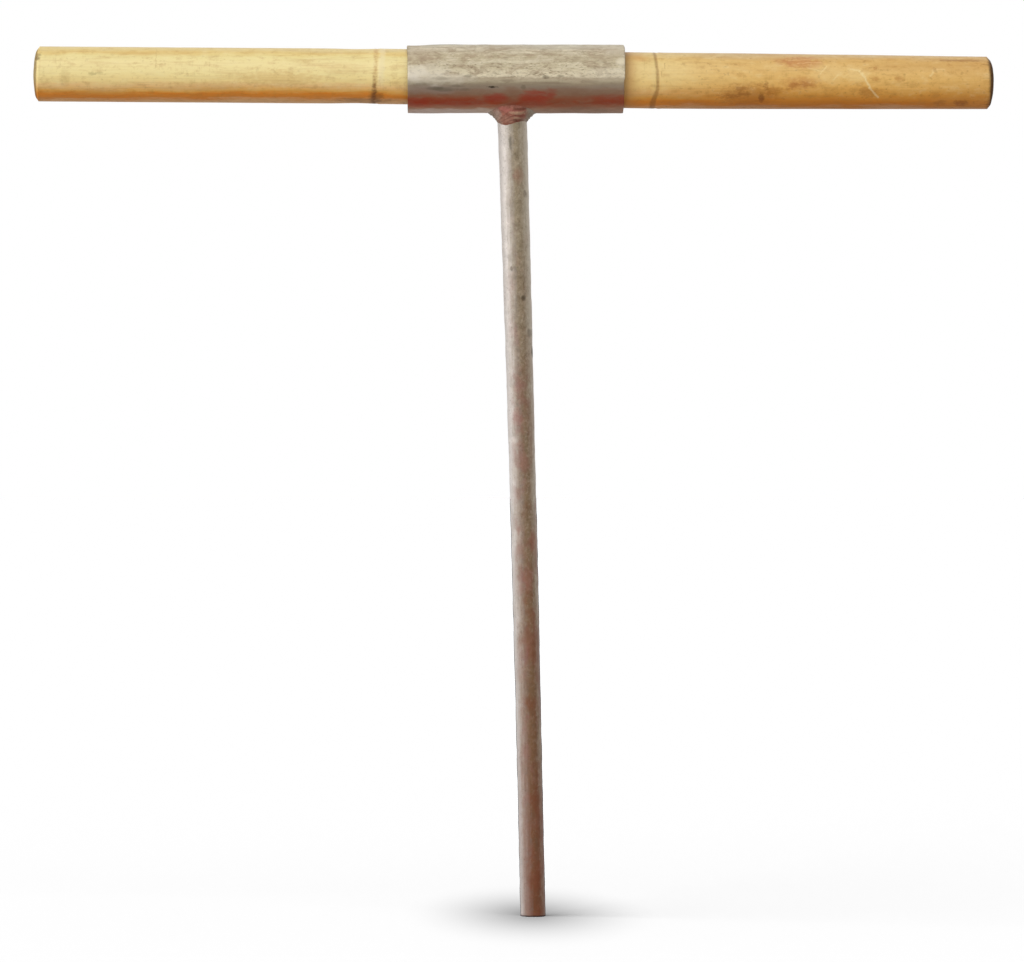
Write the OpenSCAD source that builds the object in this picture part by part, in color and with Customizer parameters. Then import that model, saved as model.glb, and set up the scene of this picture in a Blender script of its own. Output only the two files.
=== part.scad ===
// Hand auger: a cane pole pushed through a short steel sleeve, with a round
// steel shank coped and welded under it. Millimetres, +Z up, origin at the
// middle of the shank's level foot, +X along the pole, -Y the front.

/* [Sleeve] */
// Outside diameter of the steel sleeve that holds the pole
sleeve_od = 48.3; // [44:0.1:60.3]
// Wall of the sleeve
sleeve_wall = 3; // [2:0.1:4]
// Length of the sleeve
sleeve_len = 152.4; // [110:0.1:180]
// Chamfer left by deburring on the sleeve's rims
rim_chamfer = 0.5; // [0.2:0.1:0.9]

/* [Shank] */
// Height of the sleeve's underside above the foot
shank_height = 561.7; // [400:0.1:850]
// Diameter of the shank where it is welded to the sleeve
shank_top_d = 20.8; // [19:0.1:26]
// Diameter of the shank at its foot
shank_foot_d = 17.5; // [14:0.1:18.5]
// Length of the straight stretch at the shank's foot
foot_straight = 90; // [40:1:150]
// Length of the straight stretch below the sleeve, which the weld runs onto
top_straight = 20; // [16:1:40]
// Lean of the shank from square with the sleeve, in degrees
shank_lean = 1.5; // [0:0.1:3]
// How far the shank stands to the left of the sleeve's middle
shank_offset = 3.2; // [0:0.1:10]

/* [Weld] */
// Leg of the fillet weld, on the shank's sides and on the sleeve
weld_leg = 7; // [5:0.1:9]
// How much further the bead sags down the shank in front and behind
weld_sag = 3.7; // [0:0.1:5]
// Hollow of the bead's face at the shank's two sides
weld_hollow = 1; // [0:0.1:1.5]
// Crown of the bead's face in front and behind
weld_crown = 0.9; // [0:0.1:1.5]
// Height of a ripple of the bead
ripple_height = 0.5; // [0.2:0.1:0.8]
// Number of ripples round the weld
ripple_count = 20; // [12:1:28]

/* [Pole] */
// Length of the pole
pole_len = 672; // [450:1:900]
// How far the pole is pushed through to the left
pole_shift = 1; // [0:0.1:20]
// Clearance all round the pole at its left scar, if it lay in the bore's middle
pole_play = 1.85; // [1.4:0.05:3]
// Gap between the pole and the bore's roof at the left rim
left_rim_gap = 0.4; // [0.3:0.05:0.7]
// Gap between the pole and the bore's floor at the right rim
right_rim_gap = 0.8; // [0.3:0.05:0.9]
// Distance from the sleeve's middle to the left leaf scar
left_scar = 96.7; // [92:0.1:150]
// Distance from the sleeve's middle to the right leaf scar
right_scar = 98.5; // [92:0.1:150]
// Growth of the pole's radius from the left scar to the right one
pole_growth = 0.35; // [0:0.05:0.5]
// Loss of radius from the left scar to the left end
left_taper = 0.1; // [0:0.05:1]
// Loss of radius from the right scar to the right end
right_taper = 1.3; // [0:0.05:2]
// Bend of the cane at each leaf scar, in degrees
scar_bend = 0.48; // [0:0.02:0.6]
// Depth of the waist beside the left scar
waist_depth = 0.4; // [0:0.05:0.8]
// Depth of the rasped dome on the left end
left_dome = 5; // [2:0.1:10]
// Depth of the rasped dome on the right end
right_dome = 6; // [2:0.1:10]

/* [Hidden] */
$fn = 96;

// Sleeve, with its axis level above the foot
sleeve_r = sleeve_od / 2;
bore_r = sleeve_r - sleeve_wall;
sleeve_z = shank_height + sleeve_r;

// Shank, from the foot up to the sleeve's axis
shank_top_r = shank_top_d / 2;
shank_foot_r = shank_foot_d / 2;
shank_run = sleeve_z / cos(shank_lean);
shank_top_x = -sleeve_z * tan(shank_lean);
sleeve_x = shank_top_x + shank_offset;
taper_power = 1.45;
taper_steps = 12;

// Weld, round the crossing of the shank's axis and the sleeve's
// Gap that keeps the bead's flat facets out of the round steel they seat on
seat_gap = 0.02;
seat_steps = 4;
crown_steps = 6;
rings_per_ripple = 5;
weld_rings = ripple_count * rings_per_ripple;
// Share of a ripple that rises before it steps down
ripple_rise = 0.8;

// Pole, in a frame at the middle of the sleeve's bore
left_r = bore_r - pole_play;
right_r = left_r + pole_growth;
left_rise = bore_r - left_r - left_rim_gap;
right_drop = bore_r - right_r - right_rim_gap;
pole_tilt = atan((left_rise + right_drop) / sleeve_len);
pole_lift = (left_rise - right_drop) / 2;
left_reach = pole_len / 2 + pole_shift - left_scar;
right_reach = pole_len / 2 - pole_shift - right_scar;
waist_at = 14;
waist_spread = 14;
waist_start = 3;
right_power = 1.4;
ridge_height = 0.1;
ridge_width = 4;
profile_steps = 16;
// Above one, this packs the profile's points beside the scar
profile_power = 1.5;
dome_steps = 10;

// Moves to the middle of the sleeve
module at_sleeve() {
    translate([sleeve_x, 0, sleeve_z])
        children();
}

// Moves to the crossing of the shank's axis and the sleeve's
module at_crossing() {
    translate([shank_top_x, 0, sleeve_z])
        children();
}

// A solid of revolution about X, from an outline of [radius, x] points
module turned(outline) {
    rotate([0, 90, 0])
        rotate_extrude()
            polygon(outline);
}

// The steel sleeve: a length of pipe with deburred rims
module sleeve() {
    half = sleeve_len / 2;
    color("#9b9484")
        at_sleeve()
            turned([
                [bore_r + rim_chamfer, -half],
                [sleeve_r - rim_chamfer, -half],
                [sleeve_r, -half + rim_chamfer],
                [sleeve_r, half - rim_chamfer],
                [sleeve_r - rim_chamfer, half],
                [bore_r + rim_chamfer, half],
                [bore_r, half - rim_chamfer],
                [bore_r, -half + rim_chamfer],
            ]);
}

// The round bar, drawn down a little from the sleeve to the foot
module shank_bar() {
    taper_low = foot_straight - shank_run;
    taper_high = -sleeve_r - top_straight;
    outline = [
        [0, -shank_run - shank_foot_d],
        [shank_foot_r, -shank_run - shank_foot_d],
        for (i = [0 : taper_steps])
            let (s = i / taper_steps)
            [
                shank_foot_r + (shank_top_r - shank_foot_r) * pow(s, taper_power),
                taper_low + (taper_high - taper_low) * s,
            ],
        [shank_top_r, 0],
        [0, 0],
    ];
    rotate([0, -shank_lean, 0])
        rotate_extrude()
            polygon(outline);
}

// The shank: the bar coped to the sleeve above and sawn level at the foot
module shank() {
    color("#8f7f72")
        difference() {
            at_crossing()
                shank_bar();
            at_sleeve()
                rotate([0, 90, 0])
                    cylinder(r = sleeve_r, h = sleeve_len, center = true);
            translate([-shank_top_d, -shank_top_d, -2 * shank_top_d])
                cube(2 * shank_top_d);
        }
}

// A point on the shank's skin: turn round it from +X, and distance down it
function on_shank(turn, down) =
    let (r = shank_top_r + seat_gap, x = r * cos(turn))
    [
        x * cos(shank_lean) + down * sin(shank_lean),
        r * sin(turn),
        x * sin(shank_lean) - down * cos(shank_lean),
    ];

// A point on the sleeve's skin: distance along it, and turn up from its underside
function on_sleeve(along, round) =
    let (r = sleeve_r + seat_gap)
    [along, r * sin(round), -r * cos(round)];

// How far down the shank its skin leaves the sleeve's
function root_down(turn) =
    let (r = shank_top_r + seat_gap, skin = sleeve_r + seat_gap)
    (sqrt(skin * skin - pow(r * sin(turn), 2)) + r * cos(turn) * sin(shank_lean))
    / cos(shank_lean);

// Share of the front or back in a turn: 0 at the shank's sides, 1 at its front
function facing(turn) = pow(sin(turn), 2);

// Each ripple rises slowly and ends in a short step, as the puddle froze
function ripple(turn) =
    let (count = turn * ripple_count / 360, part = count - floor(count + 0.001))
    ripple_height * (part < ripple_rise
        ? pow(part / ripple_rise, 2)
        : (1 - part) / (1 - ripple_rise));

// One section of the bead: out along its seat on the sleeve, back over its face
// to the shank, and so up to its root
function bead_section(turn) =
    let (
        root = on_shank(turn, root_down(turn)),
        root_round = asin(root[1] / (sleeve_r + seat_gap)),
        leg_round = weld_leg * sin(turn) / sleeve_r * 180 / PI,
        seat = [
            for (i = [0 : seat_steps])
                let (s = i / seat_steps)
                on_sleeve(root[0] + s * weld_leg * cos(turn), root_round + s * leg_round)
        ],
        high = seat[seat_steps],
        low = on_shank(turn, root_down(turn) + weld_leg + weld_sag * facing(turn)),
        outward = (high + low) / 2 - root,
        face = outward / norm(outward),
        crown = (weld_crown + weld_hollow) * facing(turn) - weld_hollow + ripple(turn)
    )
    [
        each seat,
        for (i = [1 : crown_steps])
            let (s = i / crown_steps)
            high + s * (low - high) + face * crown * sin(180 * s),
    ];

// The fillet weld round the joint, seated on the shank and on the sleeve
module weld_bead() {
    per_ring = len(bead_section(0));
    points = [
        for (i = [0 : weld_rings - 1])
            each bead_section(360 * i / weld_rings)
    ];
    faces = [
        for (i = [0 : weld_rings - 1])
            let (here = i * per_ring, next = (i + 1) % weld_rings * per_ring)
            for (j = [0 : per_ring - 1])
                let (k = (j + 1) % per_ring)
                each [[here + k, next + k, next + j], [here + k, next + j, here + j]]
    ];
    color("#8a5a4c")
        at_crossing()
            polyhedron(points, faces, convexity = 6);
}

// Radius of the cane at a distance out from its left scar
function left_radius(out) =
    left_r - left_taper * out / left_reach
    - waist_depth * exp(-pow((out - waist_at) / waist_spread, 2)) * (1 - exp(-out / waist_start));

// Radius of the cane at a distance out from its right scar
function right_radius(out) = right_r - right_taper * pow(out / right_reach, right_power);

// Distance out from a scar of one point of the profile
function profile_place(i, length) = length * pow(i / profile_steps, profile_power);

// An outer length of the cane from its scar, with these radii and a domed end
module outer_length(reach, dome, radii) {
    end_r = radii[profile_steps];
    turned([
        [0, 0],
        for (i = [0 : profile_steps])
            [radii[i], profile_place(i, reach - dome)],
        for (i = [1 : dome_steps])
            let (a = 90 * i / dome_steps)
            [end_r * cos(a), reach - dome + dome * sin(a)],
    ]);
}

// The low ridge of a leaf scar, which also closes the bend there
module scar_ridge(r) {
    half = ridge_width / 2;
    turned([
        [0, -half],
        [r - ridge_height, -half],
        [r + ridge_height, -half / 3],
        [r + ridge_height, half / 3],
        [r - ridge_height, half],
        [0, half],
    ]);
}

// The cane pole: three lengths that bend a little at the two leaf scars
module handle_pole() {
    left_radii = [
        for (i = [0 : profile_steps]) left_radius(profile_place(i, left_reach - left_dome))
    ];
    right_radii = [
        for (i = [0 : profile_steps]) right_radius(profile_place(i, right_reach - right_dome))
    ];
    color("#d9b676")
        at_sleeve()
            translate([0, 0, pole_lift])
                rotate([0, pole_tilt, 0]) {
                    turned([
                        [0, -left_scar],
                        [left_r, -left_scar],
                        [right_r, right_scar],
                        [0, right_scar],
                    ]);
                    translate([-left_scar, 0, 0]) {
                        scar_ridge(left_r);
                        rotate([0, 180 - scar_bend, 0])
                            outer_length(left_reach, left_dome, left_radii);
                    }
                    translate([right_scar, 0, 0]) {
                        scar_ridge(right_r);
                        rotate([0, -scar_bend, 0])
                            outer_length(right_reach, right_dome, right_radii);
                    }
                }
}

sleeve();
shank();
weld_bead();
handle_pole();
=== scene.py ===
import math

import bmesh
import bpy
import numpy as np
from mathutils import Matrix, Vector


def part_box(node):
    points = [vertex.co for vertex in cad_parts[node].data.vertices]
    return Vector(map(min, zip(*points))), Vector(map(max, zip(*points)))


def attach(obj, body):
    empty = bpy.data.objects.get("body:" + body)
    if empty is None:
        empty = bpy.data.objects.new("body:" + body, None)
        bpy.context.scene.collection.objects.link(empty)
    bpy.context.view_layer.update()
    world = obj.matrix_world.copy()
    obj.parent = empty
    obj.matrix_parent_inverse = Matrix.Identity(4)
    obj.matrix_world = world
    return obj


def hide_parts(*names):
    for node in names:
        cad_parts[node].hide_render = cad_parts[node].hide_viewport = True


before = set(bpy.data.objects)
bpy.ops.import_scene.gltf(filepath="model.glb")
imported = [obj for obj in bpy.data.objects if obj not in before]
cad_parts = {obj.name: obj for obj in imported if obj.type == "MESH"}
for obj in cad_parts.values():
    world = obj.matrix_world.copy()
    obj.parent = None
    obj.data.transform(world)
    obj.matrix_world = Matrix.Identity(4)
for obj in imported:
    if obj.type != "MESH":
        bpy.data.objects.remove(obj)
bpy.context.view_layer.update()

MM = 0.001


# Sleeve
# A short length of steel pipe, cut off with a hacksaw and deburred, which holds the pole.
# Its red paint has worn off the top, and the bare skin there is pitted and weathered beige.

def add_object(name, data):
    """A new object that holds this mesh, light or camera, linked into the scene."""
    made = bpy.data.objects.new(name, data)
    bpy.context.scene.collection.objects.link(made)
    return made


def rings_to_piece(name, rings, ends):
    """A closed piece over rings in millimetres: "joined" ends meet, "capped" ends close."""
    count, around = rings.shape[:2]
    points = rings.reshape(-1, 3)
    corner = np.arange(count * around).reshape(count, around)
    if ends == "joined":
        corner = np.vstack([corner, corner[:1]])
    here, there = corner[:-1], corner[1:]
    quads = np.stack([here, np.roll(here, -1, 1), np.roll(there, -1, 1), there], -1)
    faces = quads.reshape(-1, 4).tolist()
    if ends == "capped":
        tips = [rings[0].mean(0), rings[-1].mean(0)]
        points = np.vstack([points, tips])
        first, last = corner[0], corner[-1]
        for k in range(around):
            after = (k + 1) % around
            faces.append([int(first[after]), int(first[k]), count * around])
            faces.append([int(last[k]), int(last[after]), count * around + 1])
    mesh = bpy.data.meshes.new(name)
    mesh.from_pydata((points * MM).tolist(), [], faces)
    check = bmesh.new()
    check.from_mesh(mesh)
    inside_out = check.calc_volume(signed=True) < 0
    check.free()
    if inside_out:
        mesh.flip_normals()
    return add_object(name, mesh)


class Field:
    """A value that varies over a piece. Sums on it add Math nodes to its tree."""

    def __init__(self, tree, socket=None):
        self.tree = tree
        self.socket = socket

    def node(self, kind, settings=(), values=(), output=0):
        """Adds one node, its settings first, then the values or links of its sockets."""
        made = self.tree.nodes.new(kind)
        for name, setting in dict(settings).items():
            if name != "stops":
                setattr(made, name, setting)
                continue
            stops = made.color_ramp.elements
            stops.remove(stops[1])
            stops[0].position, stops[0].color = setting[0]
            for place, colour in setting[1:]:
                stops.new(place).color = colour
        for name, value in dict(values).items():
            if isinstance(value, Field):
                self.tree.links.new(value.socket, made.inputs[name])
            else:
                made.inputs[name].default_value = value
        return Field(self.tree, made.outputs[output] if made.outputs else None)

    def math(self, operation, *values):
        return self.node("ShaderNodeMath", {"operation": operation}, enumerate(values))

    def __add__(self, other):
        return self.math("ADD", self, other)

    def __sub__(self, other):
        return self.math("SUBTRACT", self, other)

    def __rsub__(self, other):
        return self.math("SUBTRACT", other, self)

    def __mul__(self, other):
        return self.math("MULTIPLY", self, other)

    def __truediv__(self, other):
        return self.math("DIVIDE", self, other)

    def __rtruediv__(self, other):
        return self.math("DIVIDE", other, self)

    def __pow__(self, other):
        return self.math("POWER", self, other)

    def __abs__(self):
        return self.math("ABSOLUTE", self)

    __radd__ = __add__
    __rmul__ = __mul__


def rise(field, low, high):
    """0 below low, 1 above high, and a smooth rise between them. Low may be the higher number."""
    if low > high:
        return 1 - rise(field, high, low)
    return field.node(
        "ShaderNodeMapRange",
        {"interpolation_type": "SMOOTHSTEP"},
        {"Value": field, "From Min": low, "From Max": high},
    )


def clamped(field):
    """The field held between 0 and 1."""
    return field.node("ShaderNodeClamp", {}, {"Value": field})


def noise(place, size, detail=3.0, roughness=0.5, warp=0.0):
    """Soft cloudy noise round 0.5, with lumps of about this size in millimetres."""
    values = {
        "Vector": place, "Scale": 1 / size, "Detail": detail,
        "Roughness": roughness, "Distortion": warp,
    }
    return place.node("ShaderNodeTexNoise", {}, values)


def stretched(place, along, across, up, shift=0.0):
    """The place in millimetres, with lumps made this many times longer each way."""
    scaled = place.node(
        "ShaderNodeVectorMath", {"operation": "DIVIDE"}, {0: place, 1: (along, across, up)}
    )
    return place.node(
        "ShaderNodeVectorMath", {"operation": "ADD"}, {0: scaled, 1: (shift, 2.3 * shift, -shift)}
    )


def linear(colour):
    """An sRGB colour such as "c8b898", as Blender's linear red, green, blue and alpha."""
    shares = [int(colour[k:k + 2], 16) / 255 for k in (0, 2, 4)]
    return [((s + 0.055) / 1.055) ** 2.4 if s > 0.04 else s / 12.92 for s in shares] + [1.0]


def tint(share, below, above):
    """The colour below, covered by the colour above by this share."""
    below, above = (linear(c) if isinstance(c, str) else c for c in (below, above))
    return share.node(
        "ShaderNodeMix", {"data_type": "RGBA"}, {0: share, 6: below, 7: above}, output=2
    )


def bands(field, *stops):
    """Colours that run into each other over a field, each given with its own value."""
    low, high = stops[0][0], stops[-1][0]
    places = [((at - low) / (high - low), linear(colour)) for at, colour in stops]
    return field.node("ShaderNodeValToRGB", {"stops": places}, {0: (field - low) / (high - low)})


def stain(along, round_, at, long, wide, ragged):
    """A soft, ragged patch of share 1 at (along, round), this long and this wide."""
    far = ((along - at[0]) / (long / 2)) ** 2 + ((round_ - at[1]) / (wide / 2)) ** 2
    return rise(far + (ragged - 0.5) * 3.0, 1.7, 0.0)


def stained(colour, shown, along, round_, ragged, *stains):
    """The colour under stains, each given as its place, length, width, share and colour."""
    for at, long, wide, share, shade in stains:
        patch = stain(along, round_, at, long, wide, ragged)
        colour = tint(patch * shown * share, colour, shade)
    return colour


def cleared_tree(owner):
    """The emptied node tree of a material or a sky, ready for its first node."""
    owner.use_nodes = True
    owner.node_tree.nodes.clear()
    return Field(owner.node_tree)


def in_millimetres(place):
    """A place in metres, turned into millimetres."""
    return place.node("ShaderNodeVectorMath", {"operation": "SCALE"}, {0: place, "Scale": 1 / MM})


def new_finish(name):
    """A material, the place on its piece in millimetres, and that place's x, y and z."""
    finish = bpy.data.materials.new(name)
    start = cleared_tree(finish)
    place = in_millimetres(start.node("ShaderNodeTexCoord", output="Object"))
    x, y, z = (place.node("ShaderNodeSeparateXYZ", {}, {0: place}, output=k) for k in range(3))
    return finish, place, x, y, z


def attribute(place, name):
    """A value that the piece's mesh holds at each point."""
    return place.node("ShaderNodeAttribute", {"attribute_name": name}, output="Fac")


def close_finish(colour, roughness, metallic, height, gloss):
    """Ends a finish: colour, roughness, metal share, relief in millimetres, strength of gloss."""
    normal = colour.node("ShaderNodeBump", {}, {"Distance": MM, "Height": height})
    shader = colour.node("ShaderNodeBsdfPrincipled", {}, {
        "Base Color": colour, "Roughness": roughness, "Metallic": metallic,
        "Specular IOR Level": gloss, "Normal": normal,
    })
    colour.node("ShaderNodeOutputMaterial", {}, {"Surface": shader})


def new_shape_tree(name, sizes):
    """A Geometry Nodes tree with a named input for each size; returns it and its inputs."""
    tree = bpy.data.node_groups.new(name, "GeometryNodeTree")
    tree.interface.new_socket("Geometry", in_out="INPUT", socket_type="NodeSocketGeometry")
    for size in sizes:
        tree.interface.new_socket(size, in_out="INPUT", socket_type="NodeSocketFloat")
    tree.interface.new_socket("Finish", in_out="INPUT", socket_type="NodeSocketMaterial")
    tree.interface.new_socket("Geometry", in_out="OUTPUT", socket_type="NodeSocketGeometry")
    group = tree.nodes.new("NodeGroupInput")
    return tree, {socket.name: Field(tree, socket) for socket in group.outputs if socket.name}


def stored(geometry, name, share):
    """The geometry with a value held at each of its points, for a finish to read."""
    return share.node(
        "GeometryNodeStoreNamedAttribute",
        {"data_type": "FLOAT", "domain": "POINT"},
        {"Geometry": geometry, "Name": name, "Value": share},
    )


def close_shape_tree(geometry, finish):
    """Ends a tree in Realize Instances and Set Material."""
    geometry = geometry.node("GeometryNodeRealizeInstances", {}, {0: geometry})
    geometry = geometry.node(
        "GeometryNodeSetMaterial", {}, {"Geometry": geometry, "Material": finish}
    )
    geometry.node("NodeGroupOutput", {}, {0: geometry})


def apply_shape_tree(piece, tree, sizes):
    """Runs a tree on a piece with these sizes, and leaves the piece a plain mesh."""
    modifier = piece.modifiers.new(tree.name, "NODES")
    modifier.node_group = tree
    for socket in tree.interface.items_tree:
        if socket.in_out == "INPUT" and socket.name in sizes:
            modifier[socket.identifier] = sizes[socket.name]
    bpy.context.view_layer.update()
    graph = bpy.context.evaluated_depsgraph_get()
    plain = bpy.data.meshes.new_from_object(
        piece.evaluated_get(graph), preserve_all_data_layers=True, depsgraph=graph
    )
    piece.modifiers.clear()
    piece.data = plain
    plain.set_sharp_from_angle(angle=math.radians(40))


# The worn skin of the steel and the cane: broad hollows and small pits sunk below the true skin
worn_skin, worn = new_shape_tree(
    "Worn skin",
    ["Hollow Size", "Hollow Depth", "Pit Size", "Pit Depth", "Pit Share", "Grain", "Seed"],
)
worn_place = in_millimetres(worn["Seed"].node("GeometryNodeInputPosition"))
grain = worn_place.node("ShaderNodeCombineXYZ", {}, {"X": worn["Grain"], "Y": 1.0, "Z": 1.0})
worn_place = worn_place.node(
    "ShaderNodeVectorMath", {"operation": "DIVIDE"}, {0: worn_place, 1: grain}
)
worn_place = worn_place.node(
    "ShaderNodeVectorMath", {"operation": "ADD"}, {0: worn_place, 1: worn["Seed"]}
)
hollow = worn_place.node("ShaderNodeTexNoise", {}, {
    "Vector": worn_place, "Scale": 1 / worn["Hollow Size"], "Detail": 2.0,
})
pit_noise = worn_place.node("ShaderNodeTexNoise", {}, {
    "Vector": worn_place, "Scale": 1 / worn["Pit Size"], "Detail": 3.0, "Distortion": 0.4,
})
pit = worn_place.node(
    "ShaderNodeMapRange",
    {"interpolation_type": "SMOOTHSTEP"},
    {"Value": pit_noise, "From Min": 1 - worn["Pit Share"], "From Max": 1.1 - worn["Pit Share"]},
)
sunk = rise(hollow, 0.3, 0.7) * worn["Hollow Depth"] + pit * worn["Pit Depth"]
inward = worn_place.node(
    "ShaderNodeVectorMath",
    {"operation": "SCALE"},
    {0: worn_place.node("GeometryNodeInputNormal"), "Scale": sunk * -MM},
)
worn_shape = worn_place.node(
    "GeometryNodeSetPosition", {}, {"Geometry": worn["Geometry"], "Offset": inward}
)
close_shape_tree(stored(worn_shape, "pit", pit), worn["Finish"])

sleeve_low, sleeve_high = (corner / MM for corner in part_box("sleeve"))
sleeve_mid = (sleeve_low + sleeve_high) / 2
sleeve_r = (sleeve_high.z - sleeve_low.z) / 2
sleeve_half = (sleeve_high.x - sleeve_low.x) / 2
pipe_wall = 3
bore_r = sleeve_r - pipe_wall
outer_deburr, inner_deburr, deburr_reach = 0.55, 0.5, 0.6
rim_land = pipe_wall - outer_deburr - inner_deburr
mouth_wear, mouth_wear_reach = 0.8, 17
sleeve_around, outer_rings, bore_rings = 240, 232, 26
rim_steps = np.array([0, 0.25, 0.6, 1.2, 2.0])
past_rim_steps = 2.6
sleeve_turn = np.linspace(0, 2 * math.pi, sleeve_around, endpoint=False)


def smooth(values, low, high):
    """0 below low, 1 above high, and a smooth rise between them, for an array."""
    share = np.clip((values - low) / (high - low), 0, 1)
    return share * share * (3 - 2 * share)


def bump_at(values, at, spread):
    """A bell of height 1 over an array, centred at a value."""
    return np.exp(-((values - at) / spread) ** 2)


# Turn is measured from the front up over the top. The saw left each rim out of true.
front_up = (sleeve_turn + math.pi) % (2 * math.pi) - math.pi
right_short = 0.75 * (1 - smooth(front_up, -0.16, -0.02)) + 0.55 * smooth(front_up, 0.8, 1.5)
right_short = right_short + 0.1 * np.sin(3 * sleeve_turn + 1)
left_short = 0.35 + 0.3 * np.sin(sleeve_turn + 2.6) + 0.08 * np.sin(4 * sleeve_turn)


def sleeve_ring(radius, place, inner_share):
    """One ring of the sleeve at a place along it; rims and the outer skin are out of true."""
    right_share = smooth(np.array(place), 0, sleeve_half)
    left_share = smooth(np.array(-place), 0, sleeve_half)
    along = place - right_share * right_short + left_share * left_short
    worn_mouth = mouth_wear * bump_at(np.array(place), -sleeve_half, mouth_wear_reach)
    radius = radius - worn_mouth * bump_at(front_up, 1.45, 0.6) * (1 - inner_share)
    return np.stack([
        sleeve_mid.x + along,
        -radius * np.cos(sleeve_turn),
        sleeve_mid.z + radius * np.sin(sleeve_turn),
    ], -1)


sleeve_rings = []
outer_places = np.concatenate([
    -sleeve_half + rim_steps,
    np.linspace(-sleeve_half + past_rim_steps, sleeve_half - past_rim_steps, outer_rings),
    sleeve_half - rim_steps[::-1],
])
for place in outer_places:
    near_rim = 1 - min(1.0, (sleeve_half - abs(place)) / deburr_reach)
    edge = outer_deburr * (1 - math.sqrt(max(0.0, 1 - near_rim ** 2)))
    sleeve_rings.append(sleeve_ring(sleeve_r - edge, place, 0))
for share in (0.3, 0.7):
    rim_r = sleeve_r - outer_deburr - share * rim_land
    sleeve_rings.append(sleeve_ring(rim_r, sleeve_half, share))
for place in np.linspace(sleeve_half, -sleeve_half, bore_rings):
    edge = inner_deburr * max(0.0, 1 - (sleeve_half - abs(place)) / deburr_reach)
    sleeve_rings.append(sleeve_ring(bore_r + edge, place, 1))
for share in (0.7, 0.3):
    rim_r = sleeve_r - outer_deburr - share * rim_land
    sleeve_rings.append(sleeve_ring(rim_r, -sleeve_half, share))
sleeve = rings_to_piece("worn_sleeve", np.array(sleeve_rings), "joined")

sleeve_finish, place, x, y, z = new_finish("worn painted pipe")
x = x - sleeve_mid.x
up = (z - sleeve_mid.z) / sleeve_r
front = rise(y, 4, -2)
pits = attribute(place, "pit")
clouds = noise(stretched(place, 1.8, 1, 1), 13, 3)
blotches = noise(stretched(place, 2.4, 1, 1, 31), 3.6, 3, 0.6, 0.6)
specks = noise(stretched(place, 1.5, 1, 1, 47), 1.3, 2, 0.6)
drag = noise(stretched(place, 26, 1, 1, 11), 1.7, 3, 0.6)
ragged = noise(stretched(place, 1.6, 1, 1, 63), 5, 4, 0.6)
level = up + (clouds - 0.5) * 0.1 + (blotches - 0.5) * 0.1 + (drag - 0.5) * 0.08
level = level + (1 - front) * (noise(stretched(place, 1, 1, 1, 5), 30, 2) - 0.5) * 0.9
# Colour by height round the tube: red paint low down, bare beige steel above.
# Just above the middle the steel is drawn palest, a painted highlight band;
# just below the middle it falls sharply to grey-brown, painted shade.
colour = bands(
    level, (-1.0, "c29e8a"), (-0.93, "be9982"), (-0.85, "b2785c"), (-0.75, "a0421f"),
    (-0.63, "9a4e2e"), (-0.5, "8e6a52"), (-0.38, "90745f"), (-0.29, "948370"),
    (-0.2, "9d8e75"), (-0.13, "b7a98e"), (-0.05, "bbab90"), (0.01, "dfd2b4"),
    (0.12, "d9ccae"), (0.25, "c7ba9b"), (0.42, "bfb294"), (0.6, "bbad8f"), (0.8, "bfb299"),
    (1.0, "c1baa8"),
)
colour = tint((1 - front) * rise(up, -0.2, -0.5) * 0.35, colour, "8a5a46")
bare = rise(up, -0.12, 0.06)
dashes = noise(stretched(place, 3, 1, 1, 71), 1.0, 2, 0.55)
slants = noise(stretched(place, 2.2, 1, 1, 19), 6, 3, 0.55, 1.2)
colour = tint(rise(blotches, 0.52, 0.68) * bare * 0.55, colour, "e0d5b8")
colour = tint(rise(blotches, 0.48, 0.32) * (0.25 + bare * 0.25), colour, "8f7d64")
colour = tint(rise(slants, 0.5, 0.62) * (0.15 + bare * 0.35), colour, "9f8970")
colour = tint(rise(slants, 0.46, 0.34) * bare * 0.4, colour, "d9ceb6")
colour = tint(rise(clouds, 0.52, 0.68) * 0.25, colour, "a58f75")
colour = tint(rise(drag, 0.5, 0.68) * bare * 0.3, colour, "d9ceb4")
colour = tint(rise(drag, 0.46, 0.3) * 0.25, colour, "85715a")
colour = tint(rise(dashes, 0.58, 0.7) * (0.15 + rise(up, 0.6, 0.3) * bare * 0.45), colour, "766449")
colour = tint(rise(dashes, 0.42, 0.3) * bare * 0.3, colour, "e4dabe")
colour = tint(rise(specks, 0.54, 0.72) * (0.15 + bare * 0.15), colour, "84725a")
colour = tint(pits * (0.1 + bare * 0.15), colour, "73624a")
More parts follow.
